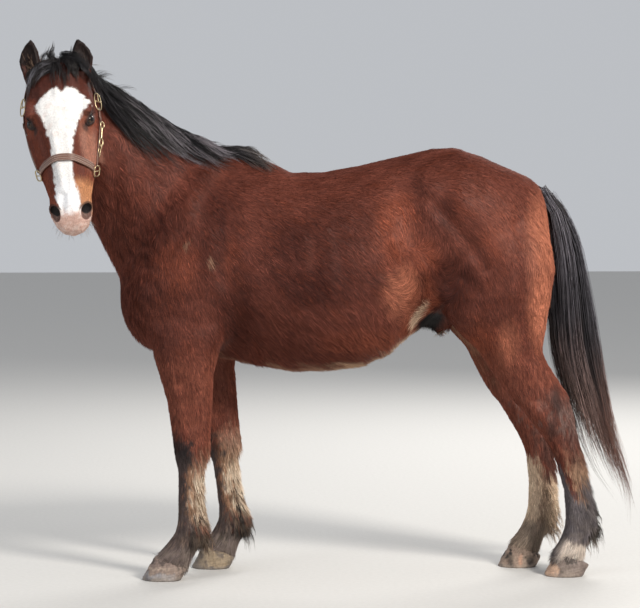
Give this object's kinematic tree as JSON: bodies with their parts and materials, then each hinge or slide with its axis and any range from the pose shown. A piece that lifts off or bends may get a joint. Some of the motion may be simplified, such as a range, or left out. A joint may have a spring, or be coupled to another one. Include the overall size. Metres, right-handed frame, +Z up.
{
  "type": "horse",
  "caption": "Standing bay horse with a white blaze, its head turned to its left, long dark mane and tail, feathered fetlocks and a leather halter.",
  "frame": {"origin": "on the floor under the middle of the whole animal's bounding box", "axes": "+Z up; the horse faces -X, its left side is towards -Y, and it is seen from -Y; millimetres in the solids, metres here"},
  "size_m": [2.0582, 0.708, 1.7806],
  "materials": {
    "coat": "short, semi-winter coat, red bay, lying flat",
    "long_hair": "long black-brown hair",
    "feather": "long hair of the fetlocks, grey-brown to black",
    "horn": "dull hoof horn, dusty grey-brown",
    "eye": "wet, very dark brown",
    "leather": "worn brown leather, stitched in rows",
    "brass": "dull brass"
  },
  "bodies": {
    "root": {"ear_left": "coat", "ear_right": "coat", "eye_left": "eye", "eye_right": "eye", "feather_fore_left": "feather", "feather_fore_right": "feather", "feather_hind_left": "feather", "feather_hind_right": "feather", "foreleg_left": "coat", "foreleg_right": "coat", "forelock": "long_hair", "halter_buckle_left": "brass", "halter_buckle_right": "brass", "halter_cheek_left": "leather", "halter_cheek_right": "leather", "halter_chin_strap": "leather", "halter_crown": "leather", "halter_noseband": "leather", "halter_ring_left": "brass", "halter_ring_right": "brass", "halter_snap": "brass", "halter_throat_left": "leather", "halter_throat_right": "leather", "head": "coat", "hindleg_left": "coat", "hindleg_right": "coat", "hoof_fore_left": "horn", "hoof_fore_right": "horn", "hoof_hind_left": "horn", "hoof_hind_right": "horn", "mane": "long_hair", "mane_lock": "long_hair", "neck": "coat", "tail": "long_hair", "trunk": "coat"}
  },
  "joints": []
}
